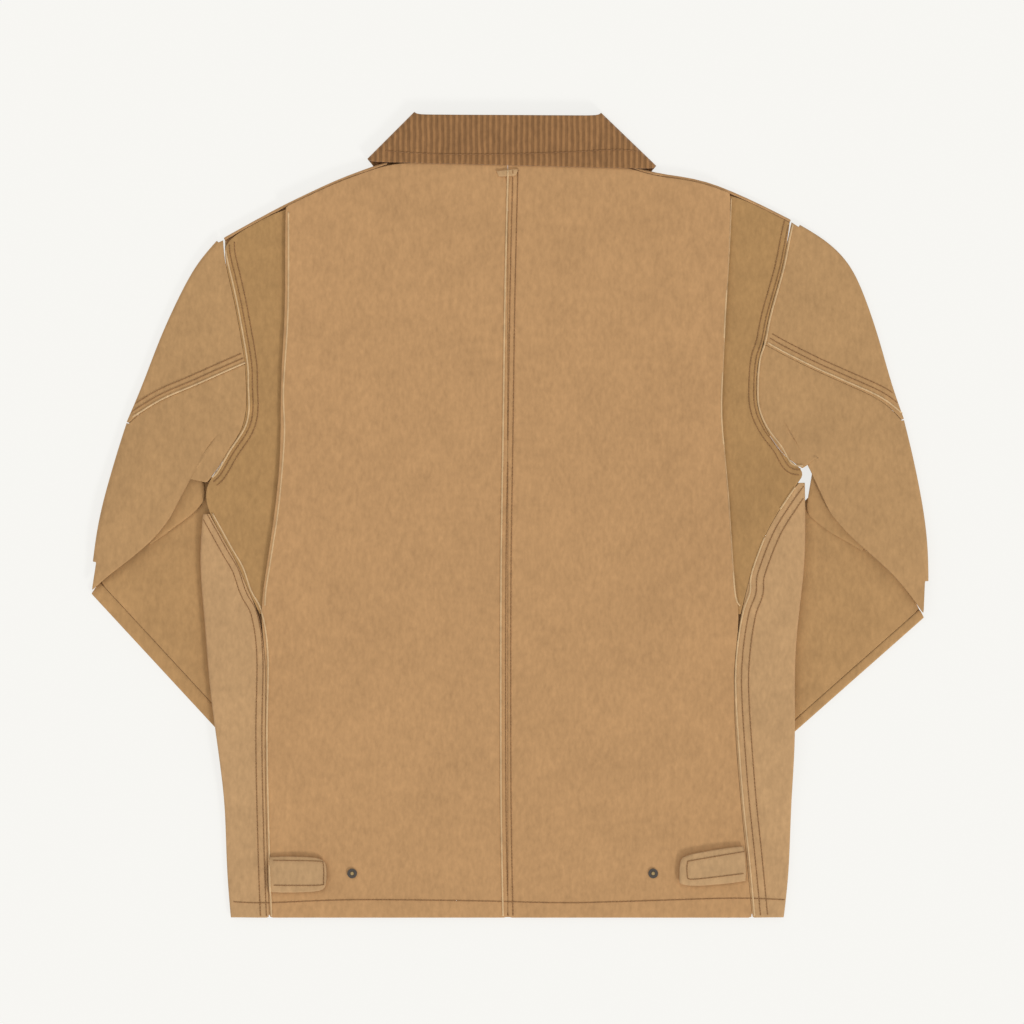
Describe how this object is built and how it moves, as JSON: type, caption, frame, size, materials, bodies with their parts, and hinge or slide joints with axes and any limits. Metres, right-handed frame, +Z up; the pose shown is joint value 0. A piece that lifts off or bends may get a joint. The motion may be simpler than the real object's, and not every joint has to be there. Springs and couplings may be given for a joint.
{
  "type": "barn jacket",
  "caption": "Washed tan duck-canvas barn jacket laid flat with its back up, forearms tucked under, with a corduroy collar, back pleats and hem tabs.",
  "frame": {"origin": "middle of the footprint on the surface that the jacket lies on", "axes": "+Z up from the surface, +Y towards the collar, +X towards the wearer's right (back up)"},
  "size_m": [0.8366, 0.8046, 0.0162],
  "materials": {
    "canvas": "matte",
    "corduroy": "matte",
    "gunmetal": "satin",
    "brass": "polished"
  },
  "bodies": {
    "root": {"back_left": "canvas", "pleat_left": "canvas", "side_left": "canvas", "front_left": "canvas", "sleeve_top_left": "canvas", "sleeve_under_left": "canvas", "sleeve_front_left": "canvas", "forearm_edge_left": "canvas", "forearm_main_left": "canvas", "elbow_tuck_left": "canvas", "tab_left": "canvas", "back_right": "canvas", "pleat_right": "canvas", "side_right": "canvas", "front_right": "canvas", "sleeve_top_right": "canvas", "sleeve_under_right": "canvas", "sleeve_front_right": "canvas", "forearm_edge_right": "canvas", "forearm_main_right": "canvas", "elbow_tuck_right": "canvas", "tab_right": "canvas", "hang_loop": "canvas", "collar": "corduroy", "snap_socket_left": "gunmetal", "snap_socket_right": "gunmetal", "stud_ring_left": "gunmetal", "stud_ring_right": "gunmetal", "snap_cap_1": "gunmetal", "snap_cap_2": "gunmetal", "snap_cap_3": "gunmetal", "snap_cap_4": "gunmetal", "snap_cap_5": "gunmetal", "snap_cap_6": "gunmetal", "stud_post_left": "brass", "stud_post_right": "brass"}
  },
  "joints": []
}
